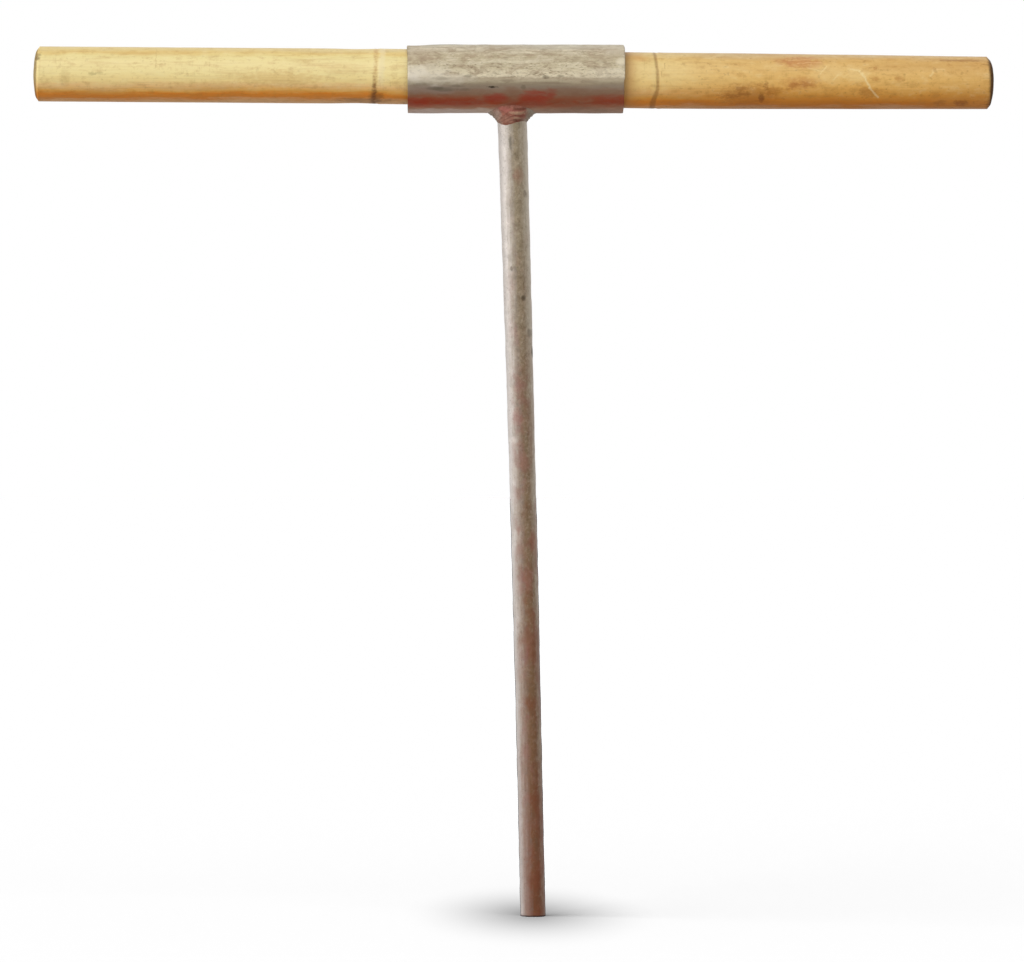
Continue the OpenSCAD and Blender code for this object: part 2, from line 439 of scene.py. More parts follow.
# Of these patches, the pale ones near the ends at -72, -62, -58 and 67 mm
# are painted highlights; the rest are stains, dirt and worn paint.
colour = stained(
    colour, front, x, up, ragged,
    ((36, -0.5), 34, 0.5, 0.35, "85644c"), ((-4, -0.58), 12, 0.6, 0.45, "8a6249"),
    ((44, -0.8), 76, 0.3, 0.35, "86553a"), ((50, -0.96), 80, 0.16, 0.45, "93705a"),
    ((-50, -0.96), 60, 0.14, 0.7, "d8c4b8"), ((-60, -0.36), 40, 0.26, 0.45, "97867a"),
    ((-58, -0.06), 50, 0.36, 0.55, "dcd2be"), ((-2, -0.88), 22, 0.26, 0.65, "8c5340"),
    ((-72, 0.1), 18, 0.4, 0.4, "ebe2d6"), ((-62, 0.14), 30, 0.4, 0.35, "e0d6c2"),
    ((67, 0.12), 30, 0.4, 0.3, "ddd2ba"), ((70, 0.78), 16, 0.3, 0.35, "cfc5b0"),
    ((-22, -0.95), 16, 0.16, 0.6, "d8c2b0"), ((-60, 0.99), 46, 0.07, 0.5, "87836f"),
    ((-66, 0.62), 24, 0.5, 0.3, "a8917a"), ((0, 0.44), 44, 0.1, 0.4, "e0d6bb"),
    ((30, 0.9), 60, 0.2, 0.3, "c9c5b4"), ((40, 0.55), 70, 0.3, 0.25, "a3947a"),
)
# The cream spot at 73.5 mm, high on the right end, is a painted highlight.
colour = stained(
    colour, front, x, up, blotches,
    ((-68, -0.72), 28, 0.26, 0.5, "9c2a16"), ((-40, -0.72), 34, 0.24, 0.4, "98301c"),
    ((-14, -0.6), 16, 0.26, 0.55, "a02a1c"), ((14, -0.6), 22, 0.44, 0.6, "a02c18"),
    ((3, -0.82), 16, 0.3, 0.3, "95402c"), ((22, -0.46), 12, 0.3, 0.4, "983824"),
    ((64, -0.64), 30, 0.26, 0.35, "963422"), ((73.5, 0.46), 8, 0.2, 0.6, "e6dbc0"),
    ((-57, -0.34), 12, 0.1, 0.4, "5e5845"), ((-49, -0.36), 16, 0.14, 0.45, "58523f"),
    ((-41, -0.27), 12, 0.09, 0.4, "5e5845"), ((-36, -0.37), 10, 0.1, 0.35, "665c49"),
    ((-64, -0.22), 14, 0.08, 0.3, "6c6350"), ((20.5, -0.02), 5, 0.1, 0.6, "665a45"),
    ((31, 0.02), 5, 0.08, 0.5, "6f624c"), ((-33, 0.02), 6, 0.1, 0.5, "6f624c"),
    ((5, -0.3), 4, 0.12, 0.5, "6b5d49"), ((-6, -0.12), 12, 0.08, 0.4, "877861"),
    ((-52, -0.06), 14, 0.1, 0.35, "7b6e59"), ((52, -0.14), 16, 0.08, 0.35, "7f715b"),
)
slot_mark = stain(x, up, (-16.6, -0.3), 7, 0.055, specks)
colour = tint(slot_mark * front * 0.9, colour, "352b1e")
rim_dark = rise(abs(x), sleeve_half - 1.1, sleeve_half - 0.2)
colour = tint(rim_dark * 0.35, colour, "6b5a44")
inside = rise((y * y + (z - sleeve_mid.z) ** 2) ** 0.5, sleeve_r - 0.9, sleeve_r - 1.6)
colour = tint(inside, colour, tint(rise(blotches, 0.4, 0.6), "5b4a3a", "7c5a41"))
close_finish(
    colour,
    0.5 + specks * 0.25,
    bare * 0.12,
    blotches * 0.16 + specks * 0.05 + drag * 0.04 - pits * 0.06,
    0.2,
)
apply_shape_tree(sleeve, worn_skin, {
    "Hollow Size": 16.0, "Hollow Depth": 0.3, "Pit Size": 2.4, "Pit Depth": 0.12,
    "Pit Share": 0.38, "Grain": 1.4, "Seed": 3.0, "Finish": sleeve_finish,
})
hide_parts("sleeve")
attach(sleeve, "steelwork")


# Shank
# A round steel bar, coped to the sleeve, drawn down a little and sawn level at the foot. It is
# bare grey-beige steel near the weld, and rustier and more red-brown down toward the foot.

shank_low, shank_high = (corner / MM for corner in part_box("shank"))
foot_r = 8.75
top_r = 10.4
lean = math.radians(1.5)
crossing_x = -sleeve_mid.z * math.tan(lean)
shank_run = sleeve_mid.z / math.cos(lean)
bow = 0.8
sunk_in_sleeve = 0.3
plain_foot, plain_top, taper_power = 90, 20, 1.45
shank_around, skin_rings = 96, 690
shank_turn = np.linspace(0, 2 * math.pi, shank_around, endpoint=False)


def on_shank(radius, down):
    """Points round the shank at this radius and distance down its leaning axis."""
    side = radius * np.cos(shank_turn)
    share = np.clip(down / shank_run, 0, 1)
    return np.stack([
        crossing_x + side * math.cos(lean) + down * math.sin(lean) + bow * np.sin(math.pi * share),
        radius * np.sin(shank_turn),
        sleeve_mid.z + side * math.sin(lean) - down * math.cos(lean),
    ], -1)


def cope(radius):
    """How far down the leaning axis a circle of this radius is just inside the sleeve's skin."""
    reach = np.sqrt((sleeve_r - sunk_in_sleeve) ** 2 - (radius * np.sin(shank_turn)) ** 2)
    return (reach + radius * np.cos(shank_turn) * math.sin(lean)) / math.cos(lean)


def sawn(radius):
    """How far down the leaning axis a circle of this radius meets the level foot."""
    return (sleeve_mid.z + radius * np.cos(shank_turn) * math.sin(lean)) / math.cos(lean)


shank_rings = [
    on_shank(share * top_r, cope(share * top_r)) for share in (0.1, 0.35, 0.6, 0.8, 0.94)
]
taper_low = shank_run - plain_foot
taper_high = sleeve_r + plain_top
for share in np.concatenate([np.linspace(0, 0.9975, skin_rings), [0.9985, 0.9993]]):
    down = cope(top_r) + share * (sawn(foot_r) - cope(top_r))
    drawn = np.clip((taper_low - down) / (taper_low - taper_high), 0, 1)
    shank_rings.append(on_shank(foot_r + (top_r - foot_r) * drawn ** taper_power, down))
for share in (0.97, 0.85, 0.6, 0.35, 0.12):
    shank_rings.append(on_shank(share * foot_r, sawn(share * foot_r)))
shank = rings_to_piece("drawn_shank", np.array(shank_rings), "capped")

shank_finish, place, x, y, z = new_finish("weathered bar steel")
height_share = z / sleeve_mid.z
axis_x = crossing_x + (sleeve_mid.z - z) * math.tan(lean)
bowed = (height_share * math.pi).math("SINE", height_share * math.pi) * bow
side = (x - axis_x - bowed) / top_r
front = rise(y, 3, -3)
pits = attribute(place, "pit")
clouds = noise(stretched(place, 1, 1, 1.8), 8, 3)
broad = noise(stretched(place, 1, 1, 2, 19), 34, 2)
mottles = noise(stretched(place, 1, 1, 1.3, 31), 3.4, 3, 0.6, 0.8)
dapples = noise(stretched(place, 1, 1, 1.2, 47), 2.0, 2, 0.6)
specks = noise(stretched(place, 1, 1, 1.2, 53), 1.1, 2, 0.6)
ragged = noise(stretched(place, 1, 1, 1.2, 63), 4, 3, 0.6)
# On the front the right side sits a little lower in the bands, a touch darker: painted shade.
level = height_share + (clouds - 0.5) * 0.16 + (broad - 0.5) * 0.1 - side * front * 0.05
colour = bands(
    level, (0.0, "724326"), (0.14, "774e31"), (0.3, "7e6042"), (0.48, "866e54"),
    (0.64, "8b775f"), (0.8, "92836a"), (1.0, "96886f"),
)
lines = noise(stretched(place, 1, 1, 14, 7), 1.5, 3, 0.6)
colour = tint(rise(mottles, 0.5, 0.7) * (0.06 + height_share * 0.22), colour, "bfae9a")
colour = tint(rise(mottles, 0.5, 0.3) * 0.35, colour, "66503c")
colour = tint(rise(dapples, 0.5, 0.72) * (0.02 + height_share * 0.24), colour, "cabfb0")
colour = tint(rise(dapples, 0.46, 0.28) * 0.3, colour, "5e4a36")
streaked = side + (clouds - 0.5) * 0.3 + (mottles - 0.5) * 0.3 + (lines - 0.5) * 0.5
# A faint pale shoulder over the front left of the bar: painted highlight.
highlight_shoulder = rise(streaked, 0.12, -0.2) * (0.07 + height_share * 0.1) * front
colour = tint(highlight_shoulder, colour, "c4c2ca")
# A pale streaky band down the front left, stronger higher up: painted highlight.
left_highlight = clamped((streaked + 0.12) * (height_share * -1.0 - 0.95)) ** 1.6 * front
colour = tint(left_highlight * (0.94 + height_share * 0.02), colour, tint(lines, "cfc6c2", "e2dad0"))
# Palest at the far left edge on the front: painted highlight.
left_edge_highlight = rise(side, -0.5, -0.95) * (0.5 - height_share * 0.4) * front
colour = tint(left_edge_highlight, colour, tint(rise(height_share, 0.5, 0.8), "dad9d8", "8f8c87"))
# Paler toward the right edge on the front, palest at the rim: painted reflection.
right_edge_sheen = side + (mottles - 0.5) * 0.3 + (lines - 0.5) * 0.3 + height_share * 0.1
right_edge_sheen = rise(right_edge_sheen, 0.4, 1.04) * front
right_sheen_share = 0.6 + rise(height_share, 0.05, 0.4) * 0.35
right_rim_reflection = rise(side, 0.74, 0.98) * (0.5 - height_share * 0.35) * front
colour = tint(right_edge_sheen * right_sheen_share, colour, "cdc2b0")
colour = tint(right_rim_reflection, colour, "e6e0d8")
off_edge = 1 - rise(side, -0.35, -0.8) * front * 0.8
rosy = noise(stretched(place, 1, 1, 1.5, 90), 11, 4, 0.65)
rosy_share = rise(rosy - side * 0.08, 0.48, 0.64) * off_edge
rosy_share = rosy_share * rise(height_share, 0.95, 0.6) * rise(height_share, 0.0, 0.2)
colour = tint(rosy_share * 0.4, colour, "8e5f56")
rusty = noise(stretched(place, 1, 1, 1.8, 120), 14, 4, 0.65)
rusty_share = rise(rusty + side * 0.12, 0.48, 0.68) * rise(height_share, 0.85, 0.35) * off_edge
colour = tint(rusty_share * 0.5, colour, "7a3a1e")
colour = tint(rise(specks, 0.56, 0.72) * 0.3, colour, "554230")
colour = tint(pits * 0.3, colour, "56422f")
colour = stained(
    colour, front, z, side, ragged,
    ((432.2, 0.36), 4, 0.3, 0.75, "4c3e2c"), ((408, 0.75), 6, 0.36, 0.5, "4c3e2c"),
    ((394.7, 0.93), 7, 0.24, 0.85, "3f3826"), ((452.7, -0.36), 3.5, 0.2, 0.5, "5c4c3c"),
    ((518, 0.28), 12, 0.7, 0.4, "a0705c"), ((531, 0.2), 8, 0.3, 0.3, "5e4c3a"),
    ((370.6, 0.0), 10, 0.8, 0.35, "8f5a54"), ((349, -0.2), 12, 0.7, 0.4, "96605a"),
    ((505, 0.7), 5, 0.24, 0.5, "5c4c3a"), ((541, -0.2), 10, 0.2, 0.8, "6a6254"),
    ((317, 0.1), 14, 0.7, 0.4, "925c54"), ((236, 0.2), 20, 0.8, 0.35, "94504a"),
    ((192, 0.1), 26, 0.7, 0.35, "8c4c40"), ((262, 0.6), 16, 0.5, 0.35, "9a6650"),
)
colour = tint(rise(z, 1.5, 0.3) * 0.75, colour, "3a241b")
close_finish(
    colour,
    0.36 + specks * 0.16,
    0.12 + rise(height_share, 0.1, 0.85) * 0.28,
    mottles * 0.14 + dapples * 0.08 + specks * 0.03,
    0.3,
)
apply_shape_tree(shank, worn_skin, {
    "Hollow Size": 12.0, "Hollow Depth": 0.28, "Pit Size": 2.2, "Pit Depth": 0.1,
    "Pit Share": 0.36, "Grain": 0.8, "Seed": 21.0, "Finish": shank_finish,
})
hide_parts("shank")
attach(shank, "steelwork")


# Weld
# A fillet weld laid all round the joint of shank and sleeve by hand, ripple by ripple. It sags
# further down the shank in front and behind, and the sleeve's red paint runs over most of it.

weld_tree, weld = new_shape_tree("Weld bead", [
    "Sleeve Radius", "Shank Radius", "Lean", "Leg", "Sag", "Slump", "Hollow", "Crown",
    "Ripple Height", "Ripples", "Ripple Bow", "Ripple Skew", "Lumps", "Sink",
])
weld_around, weld_across = 420, 40
seat_share = 0.12
ripple_rise = 0.8
grid = weld["Leg"].node("GeometryNodeMeshGrid", {}, {
    "Size X": 1.0, "Size Y": 1.0, "Vertices X": weld_around + 1, "Vertices Y": weld_across + 1,
})
spread = grid.node("GeometryNodeInputPosition")
turn = (spread.node("ShaderNodeSeparateXYZ", {}, {0: spread}, output="X") + 0.5) * (2 * math.pi)
path = spread.node("ShaderNodeSeparateXYZ", {}, {0: spread}, output="Y") + 0.5
cos_turn = turn.math("COSINE", turn)
sin_turn = turn.math("SINE", turn)
cos_lean = turn.math("COSINE", weld["Lean"])
sin_lean = turn.math("SINE", weld["Lean"])
shank_skin = weld["Shank Radius"] - weld["Sink"]
sleeve_skin = weld["Sleeve Radius"] - weld["Sink"]
facing = sin_turn * sin_turn


def shank_point(down):
    """A point on the shank's skin, this far down its axis, as three fields."""
    side = shank_skin * cos_turn
    return np.array([
        side * cos_lean + down * sin_lean, shank_skin * sin_turn, side * sin_lean - down * cos_lean,
    ], dtype=object)


def sleeve_point(along, round_):
    """A point on the sleeve's skin, this far along and this far round from its underside."""
    sine = along.math("SINE", round_)
    cosine = along.math("COSINE", round_)
    return np.array([along, sleeve_skin * sine, sleeve_skin * cosine * -1], dtype=object)


root_reach = sleeve_skin ** 2 - (shank_skin * sin_turn) ** 2
root_down = (root_reach ** 0.5 + shank_skin * cos_turn * sin_lean) / cos_lean
root = shank_point(root_down)
root_round = turn.math("ARCSINE", root[1] / sleeve_skin)
seat_leg = weld["Leg"] * (1 - facing * 0.3)
low_down = root_down + weld["Leg"] + weld["Sag"] * facing - weld["Slump"] * cos_turn * facing
high = sleeve_point(root[0] + seat_leg * cos_turn, root_round + seat_leg * sin_turn / sleeve_skin)
low_toe = shank_point(low_down)
out_seat = clamped(path / seat_share)
over_face = clamped((path - seat_share) / (1 - 2 * seat_share))
back_up = clamped((path - 1 + seat_share) / seat_share)
seat = sleeve_point(
    root[0] + seat_leg * cos_turn * out_seat,
    root_round + seat_leg * sin_turn / sleeve_skin * out_seat,
)
outward = (high + low_toe) * 0.5 - root
outward_length = (outward[0] ** 2 + outward[1] ** 2 + outward[2] ** 2) ** 0.5
bulge = turn.math("SINE", over_face * math.pi)
wander = turn.math("SINE", turn * 3 + 1.0) * 0.25 + turn.math("SINE", turn * 2 + 4.0) * 0.2
phase = turn / (2 * math.pi) * weld["Ripples"] + wander + weld["Ripple Skew"] * over_face
phase = phase + weld["Ripple Bow"] * (over_face * 2 - 1) ** 2
part = phase.math("FRACT", phase)
ripple = phase.math("MINIMUM", (part / ripple_rise) ** 2, (1 - part) / (1 - ripple_rise))
lump_place = turn.node("ShaderNodeCombineXYZ", {}, {
    "X": cos_turn * 14, "Y": sin_turn * 14, "Z": over_face * 10,
})
lumps = noise(lump_place, 6, 3, 0.6) * 2 - 1
crown = (weld["Crown"] + weld["Hollow"]) * facing - weld["Hollow"] + lumps * weld["Lumps"]
rippled = ripple * weld["Ripple Height"] * bulge ** 0.5
proud = (crown * bulge + rippled) / outward_length
bead_point = seat + (low_toe - high) * over_face + (root - low_toe) * back_up + outward * proud
bead_place = turn.node("ShaderNodeCombineXYZ", {}, {
    "X": (bead_point[0] + crossing_x) * MM,
    "Y": bead_point[1] * MM,
    "Z": (bead_point[2] + sleeve_mid.z) * MM,
})
bead_shape = turn.node("GeometryNodeSetPosition", {}, {"Geometry": grid, "Position": bead_place})
bead_shape = stored(bead_shape, "crease", 1 - rise(ripple, 0.0, 0.5))
bead_shape = stored(bead_shape, "across", over_face)
bead_shape = turn.node(
    "GeometryNodeMergeByDistance", {}, {"Geometry": bead_shape, "Distance": 0.001 * MM}
)
close_shape_tree(bead_shape, weld["Finish"])

weld_finish, place, x, y, z = new_finish("painted weld metal")
crease = attribute(place, "crease")
across = attribute(place, "across")
side = (x - crossing_x - 0.6) / top_r
front = rise(y, 3, -2)
blotches = noise(stretched(place, 1, 1, 1, 31), 3.2, 4, 0.6, 0.5)
specks = noise(stretched(place, 1, 1, 1, 53), 1.2, 3, 0.7)
ragged = noise(stretched(place, 1, 1, 1, 77), 2.2, 3, 0.6)
old_paint = tint(rise(blotches, 0.35, 0.62), "a86754", "864a38")
scale = tint(rise(specks, 0.35, 0.65), "bcaa9a", "988470")
bead_top, bead_tall = sleeve_low.z + 5.6, 13.6
below = (bead_top - z) / bead_tall
arched = below + (side - 0.35) ** 2 * 0.16
jagged = side + (blotches - 0.5) * 0.4 + (ragged - 0.5) * 0.4
painted_left = rise(jagged - below * 0.75, -1.85, -1.15)
painted_front = painted_left * rise(jagged + rise(below, 0.5, 1.05) * 0.55, 1.3, 0.75)
painted_front = painted_front * rise(across + (ragged - 0.5) * 0.3, 1.1, 0.85)
painted_back = rise(abs(jagged), 1.3, 0.5)
painted = painted_front * front + painted_back * (1 - front)
colour = tint(painted * 0.9, scale, old_paint)
# The creases between ripples are drawn dark, more on the right and at the back: painted shade.
crease_shade_share = 0.25 + rise(side, -0.2, 0.5) * 0.25 * front + (1 - front) * 0.4
colour = tint(crease * painted * crease_shade_share, colour, "4a241a")
# Of these, the pink streak and the two beige ones are painted highlights on the ridges,
# and the three dark crescents on the right are painted shadows under the laps.
colour = stained(
    colour, front, side, arched, specks,
    ((-0.5, 0.38), 1.8, 0.28, 0.45, "bc6c64"), ((-0.95, 0.75), 0.5, 0.5, 0.5, "c4b0a0"),
    ((0.35, 0.46), 1.1, 0.17, 0.65, "bd9f80"), ((0.3, 0.7), 0.6, 0.13, 0.65, "b39176"),
    ((0.55, 0.27), 1.0, 0.14, 0.65, "63301f"), ((0.5, 0.59), 0.8, 0.12, 0.6, "63301f"),
    ((0.36, 0.83), 0.8, 0.14, 0.6, "5a2c1c"), ((-0.35, 0.85), 1.0, 0.36, 0.45, "a8806c"),
    ((1.2, 0.4), 0.5, 0.9, 0.6, "9c907c"),
)
toe = rise(across, 0.9, 0.99)
colour = tint(toe * (0.1 + painted * 0.2), colour, "6e4434")
close_finish(colour, 0.5 + specks * 0.2, 0.05, specks * 0.06 + blotches * 0.1, 0.25)

bead = add_object("fillet_weld", bpy.data.meshes.new("fillet_weld"))
apply_shape_tree(bead, weld_tree, {
    "Sleeve Radius": sleeve_r, "Shank Radius": top_r, "Lean": lean, "Leg": 7.0, "Sag": 3.7,
    "Slump": 3.0, "Hollow": 1.0, "Crown": 0.9, "Ripple Height": 0.5, "Ripples": 10.0,
    "Ripple Bow": 0.7, "Ripple Skew": 4.2, "Lumps": 0.6, "Sink": 0.35, "Finish": weld_finish,
})
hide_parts("weld_bead")
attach(bead, "steelwork")


# Pole
# A length of solid cane that lies loose in the sleeve, with a leaf scar near each of its rims.
# The ends are rasped to low domes. It is pale straw to the left, tanned by hands to the right.

pole_low, pole_high = (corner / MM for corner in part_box("handle_pole"))
pole_around, cane_rings = 132, 600
pole_turn = np.linspace(0, 2 * math.pi, pole_around, endpoint=False)
pole_tilt = math.radians(0.80825)
pole_lift = 0.375
scar_bend = math.radians(0.48)
left_scar, right_scar = 96.7, 98.5
left_reach, right_reach = 240.3, 236.5
left_r, right_r = 19.3, 19.65
left_dome, right_dome = 3.8, 4.2
left_slant, right_slant = 0.5, 1.0


def cane_radius(place):
    """Radius of the cane at a place along it, from the sleeve's middle."""
    out_left = np.maximum(-left_scar - place, 0)
    out_right = np.maximum(place - right_scar, 0)
    middle = np.clip((place + left_scar) / (left_scar + right_scar), 0, 1)
    waist = 0.4 * bump_at(out_left, 14, 14) * (1 - np.exp(-out_left / 3))
    radius = left_r + (right_r - left_r) * middle - 0.1 * out_left / left_reach
    radius = radius - waist - 1.3 * (out_right / right_reach) ** 1.4
    for scar in (-left_scar, right_scar):
        radius = radius + 0.12 * bump_at(place, scar + 1.6, 1.6) - 0.2 * bump_at(place, scar, 1.0)
    return radius


def cane_height(place):
    """Height of the cane's bent middle line over its mean line."""
    left = np.maximum(-left_scar - place, 0)
    right = np.maximum(place - right_scar, 0)
    return right * math.tan(scar_bend) - left * math.tan(scar_bend)


def cane_ring(radius, place):
    """One ring of the cane; place may differ from point to point round it."""
    height = cane_height(place) + radius * np.sin(pole_turn)
    return np.stack([
        sleeve_mid.x + place * math.cos(pole_tilt) + height * math.sin(pole_tilt),
        -radius * np.cos(pole_turn),
        sleeve_mid.z + pole_lift - place * math.sin(pole_tilt) + height * math.cos(pole_tilt),
    ], -1)


left_end, right_end = -left_scar - left_reach + 0.05, right_scar + right_reach
dome_shares = np.sin(np.linspace(0.05, 1, 24) * math.pi / 2)
upper = np.sin(pole_turn)


def dome_depth(share, dome, slant):
    """How far a dome's skin lies back from its tip at this share of the radius."""
    plain = dome * (1 - np.sqrt(np.maximum(0, 1 - share ** 2)))
    flat = 0.62 * dome * share ** 2 + 0.38 * dome * smooth(np.array(share), 0.82, 1)
    slanted = slant * smooth(np.array(share), 0.6, 1) * (1 + upper) / 2
    return 0.35 * plain + 0.65 * flat + slanted


pole_rings = []
end_shares = []
left_start = left_end + dome_depth(1.0, left_dome, left_slant)
right_start = right_end - dome_depth(1.0, right_dome, right_slant)
left_end_r, right_end_r = cane_radius(left_end + 4), cane_radius(right_end - 5)
for share in dome_shares:
    place = left_end + dome_depth(share, left_dome, left_slant)
    pole_rings.append(cane_ring(share * left_end_r, place))
    end_shares.append(1 - share)
for share in np.linspace(0, 1, cane_rings)[1:-1]:
    place = left_start + share * (right_start - left_start)
    pole_rings.append(cane_ring(cane_radius(place), place))
    end_shares.append(0)
for share in dome_shares[::-1]:
    place = right_end - dome_depth(share, right_dome, right_slant)
    pole_rings.append(cane_ring(share * right_end_r, place))
    end_shares.append(1 - share)
pole = rings_to_piece("cane_pole", np.array(pole_rings), "capped")
end_share = pole.data.attributes.new("end", "FLOAT", "POINT")
end_share.data.foreach_set("value", np.append(np.repeat(end_shares, pole_around), [1.0, 1.0]))

cane_finish, place, x, y, z = new_finish("handled cane")
x = x - sleeve_mid.x
past_left = x.math("MAXIMUM", -left_scar - x, 0.0)
past_right = x.math("MAXIMUM", x - right_scar, 0.0)
mid_z = sleeve_mid.z + pole_lift - x * math.tan(pole_tilt)
over = z - mid_z + (past_left - past_right) * math.tan(scar_bend)
up = over / left_r
front = rise(y, 3, -3)
end_face = attribute(place, "end")
fibres = noise(stretched(place, 34, 1, 1), 1.3, 3, 0.6)
streaks = noise(stretched(place, 9, 1, 1, 13), 3.2, 3, 0.6)
clouds = noise(stretched(place, 2.2, 1, 1, 27), 15, 3)
blotches = noise(stretched(place, 1.8, 1, 1, 41), 5, 4, 0.65)
specks = noise(stretched(place, 2.2, 1, 1, 59), 1.6, 3, 0.7)
hairs = noise(stretched(place, 0.8, 14, 14, 97), 1.1, 2, 0.6)
ragged = noise(stretched(place, 1.4, 1, 1, 63), 3.4, 4, 0.65)
level = up + (streaks - 0.5) * 0.26 + (clouds - 0.5) * 0.26 + (specks - 0.5) * 0.08
shaded_from = rise(x, -300, -180) * rise(x, -60, -100)
low_shift = (0.03 - shaded_from * 0.08) * rise(up, -0.2, -0.5)
# Round the cane the colour deepens to orange-brown toward the underside, partly the cane's tan
# and partly painted shade, and turns paler again at the very bottom edge: painted bounce light.
straw = bands(
    level + low_shift, (-0.97, "ebb57c"), (-0.85, "e48c32"), (-0.75, "ee9029"),
    (-0.63, "f4b85c"), (-0.46, "f8cd8a"), (-0.3, "fbdf97"), (0.0, "fae6a3"), (0.35, "f5e2a4"),
    (0.6, "ecda9a"), (0.76, "e3c77f"), (0.95, "e0cb92"),
)
amber = bands(
    level, (-0.97, "ce9260"), (-0.86, "cc781c"), (-0.74, "d68424"), (-0.5, "de9d44"),
    (-0.25, "e9b461"), (0.0, "e8ba6b"), (0.4, "e0b770"), (0.7, "d8ae67"), (0.95, "ceb07f"),
)
colour = tint(rise(x, 0, 190), straw, amber)
colour = tint(rise(x, 270, 345) * 0.3, colour, "c4904e")
colour = tint(rise(streaks, 0.5, 0.75) * 0.22, colour, "c48e48")
handled = rise(x, 60, 150)
colour = tint(rise(blotches, 0.5, 0.7) * (0.25 + handled * 0.09), colour, "b47c36")
colour = tint(rise(blotches, 0.5, 0.28) * rise(up, -0.8, -0.4) * 0.2, colour, "f7e6b2")
colour = tint(rise(fibres, 0.5, 0.7) * 0.13, colour, "ab7840")
patchy = rise(blotches + (clouds - 0.5) * 0.6, 0.5, 0.62)
colour = tint(rise(hairs, 0.56, 0.7) * patchy * 0.14, colour, "a1743c")
freckles = noise(stretched(place, 1.3, 1, 1, 131), 2.4, 2, 0.5)
colour = tint(rise(freckles, 0.6, 0.72) * (0.12 + handled * 0.14), colour, "925c22")
colour = tint(rise(specks, 0.58, 0.74) * (0.09 + handled * 0.05), colour, "8f6434")
torn = ragged + (specks - 0.5) * 0.9


def scratch(start, end, wide):
    """A thin, broken line from start to end, each a place along the cane and a height over it."""
    run = (end[0] - start[0], end[1] - start[1])
    along = x - start[0] + (ragged - 0.5) * 3
    rest = over - start[1] + (blotches - 0.5) * 3
    share = clamped((along * run[0] + rest * run[1]) / (run[0] ** 2 + run[1] ** 2))
    off = (along - share * run[0]) ** 2 + (rest - share * run[1]) ** 2
    return rise(off ** 0.5 + (specks - 0.5) * wide * 1.6, wide * 1.1, 0.0) * front


colour = stained(
    colour, front, x, over, torn,
    ((200, 12.4), 28, 9, 0.5, "b8693a"), ((186, 13.2), 14, 5, 0.35, "b87846"),
    ((199, -2.2), 26, 9, 0.45, "bf7638"), ((202, -3.0), 9, 4, 0.4, "a4581f"),
    ((194, -3.8), 9, 3.4, 0.4, "a4581f"), ((163, -10.5), 40, 15, 0.4, "a05c1e"),
    ((174.2, -4.6), 4, 6, 0.45, "8a4a14"), ((171.4, -12.6), 4, 6, 0.55, "6e3408"),
    ((156.7, -6.6), 8, 3, 0.35, "8a4a14"), ((160, -9.8), 9, 3, 0.35, "8a4a14"),
    ((149, -11.4), 14, 3, 0.35, "904e16"), ((181, -8), 16, 6, 0.3, "a8641e"),
    ((246, -8.4), 14, 6, 0.35, "a05a1a"), ((250.8, 8.2), 3.4, 3, 0.35, "ad6420"),
    ((250.6, 1.0), 5, 3.6, 0.35, "ad6420"), ((267.6, 0.8), 6.5, 4, 0.4, "ad6420"),
    ((311, -14.8), 10, 4, 0.5, "7c3a08"), ((297, -14.8), 9, 4, 0.35, "884a10"),
    ((310, 14.6), 34, 2.6, 0.35, "99662f"), ((87, 15), 9, 6, 0.3, "d0894a"),
    ((-295, -1.0), 5, 2.6, 0.4, "a28a50"), ((-290, -0.4), 5, 2, 0.25, "a28a50"),
    ((-314, -3.4), 7, 12, 0.25, "c09a5a"), ((-165, -3), 60, 11, 0.3, "d09a50"),
    ((-120, 4), 30, 8, 0.2, "d3a462"), ((-215, -9), 60, 8, 0.2, "cf9650"),
    ((-250, 14), 70, 4, 0.3, "d7ad62"), ((-290, -14), 60, 5, 0.3, "d1802c"),
    ((236.5, 4.0), 17, 12, 0.35, "f3d898"), ((218.3, 5), 26, 14, 0.3, "f0d496"),
    ((111, 6), 20, 20, 0.3, "f2d794"), ((80, 4), 12, 26, 0.3, "f0d48c"),
    ((-333.4, 9.8), 4, 3, 0.7, "6a4c26"), ((-332.6, 12.4), 4, 2.4, 0.5, "7c5a2e"),
    ((-105, -17.4), 40, 3, 0.5, "8a5626"), ((290, 10), 90, 8, 0.2, "b58040"),
)
for start, end, wide, share, shade in (
    ((234, 7.6), (240.2, 6.2), 0.9, 0.45, "f2dca4"),
    ((240.2, 6.2), (243.8, 0.6), 1.3, 0.55, "f2dca4"),
    ((243.8, 0.6), (247, -5), 1.0, 0.6, "f2dca4"), ((247, -5), (252.8, -11.8), 0.9, 0.5, "f2dca4"),
    ((212, 4.5), (216.7, 9.8), 0.8, 0.5, "f0d89c"),
    ((221, 0.2), (224.6, 3.2), 0.8, 0.45, "f0d89c"),
    ((288.8, 3.4), (291.2, 5.8), 1.0, 0.5, "f0d89c"),
    ((293.9, 7.9), (299.5, 8), 0.6, 0.45, "eed092"), ((203, 8.5), (214, 6.0), 0.6, 0.35, "f0d89c"),
    ((190, 13.4), (206, 14.8), 0.4, 0.45, "ecc890"), ((196, 11.4), (213, 12.6), 0.4, 0.4, "ecc890"),
    ((-251, 3), (-250.6, 17), 0.5, 0.3, "c8a468"), ((297, 14.6), (324, 14.4), 0.6, 0.45, "8d5a28"),
    ((101.6, 1.5), (101.8, 5), 0.5, 0.4, "a9763a"), ((103.6, 7), (103.8, 11), 0.5, 0.4, "a9763a"),
):
    colour = tint(scratch(start, end, wide) * share, colour, shade)
left_line = x + 98.3 - over * 0.06 + (ragged - 0.5) * 4
